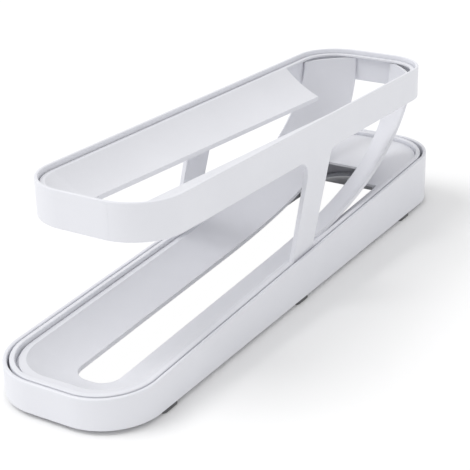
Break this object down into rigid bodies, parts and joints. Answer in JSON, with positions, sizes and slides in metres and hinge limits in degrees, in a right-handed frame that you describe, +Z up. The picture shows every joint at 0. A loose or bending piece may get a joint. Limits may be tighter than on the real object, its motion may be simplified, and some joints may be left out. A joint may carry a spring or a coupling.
{
  "type": "rolling egg dispenser",
  "caption": "Two-level gravity egg dispenser: a slotted upper track on struts drops eggs down a curved return chute to a lower tray, where they roll to the front.",
  "frame": {"origin": "centre of the footprint, on the surface that the feet stand on", "axes": "+Z up; -Y is the front, where eggs are taken out; +Y is the rear, where eggs drop to the lower level; +X is to the right seen from the front"},
  "size_m": [0.087, 0.36, 0.1053],
  "materials": {
    "white_plastic": "fine satin moulded",
    "liner_plastic": "satin moulded",
    "grey_rubber": "matt"
  },
  "bodies": {
    "root": {"base_shell": "white_plastic", "main_frame": "white_plastic", "upper_track": "liner_plastic", "lower_track": "liner_plastic", "foot_front_left": "grey_rubber", "foot_front_right": "grey_rubber", "foot_middle_left": "grey_rubber", "foot_middle_right": "grey_rubber", "foot_rear_left": "grey_rubber", "foot_rear_right": "grey_rubber"}
  },
  "joints": []
}
